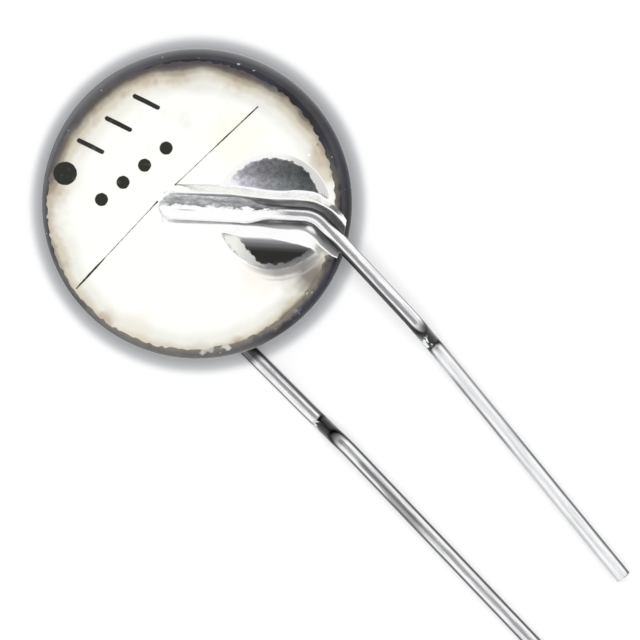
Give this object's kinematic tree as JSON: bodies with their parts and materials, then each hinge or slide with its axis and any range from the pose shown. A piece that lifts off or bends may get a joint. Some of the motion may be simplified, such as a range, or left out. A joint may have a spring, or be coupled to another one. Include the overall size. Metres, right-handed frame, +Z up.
{
  "type": "ptc thermistor",
  "caption": "Leaded disc thermistor: a glazed dark ceramic disc with a silver electrode on each face and a tinned wire soldered across each, bent to run out side by side.",
  "frame": {"origin": "centre of the footprint on the surface that the part lies on; the disc's axis stands 7.95 mm towards -X", "axes": "+X along the leads from the disc to their cut ends, +Y across the leads towards the lead that is soldered to the upper face, +Z up along the disc's axis"},
  "size_m": [0.0279, 0.012, 0.0035],
  "materials": {
    "ceramic": "gloss",
    "electrode": "gloss",
    "solder": "satin",
    "tinned_wire": "polished",
    "ink": "matte"
  },
  "bodies": {
    "root": {"ceramic_disc": "ceramic", "front_electrode": "electrode", "back_electrode": "electrode", "front_solder": "solder", "back_solder": "solder", "front_lead": "tinned_wire", "back_lead": "tinned_wire", "marking": "ink"}
  },
  "joints": []
}
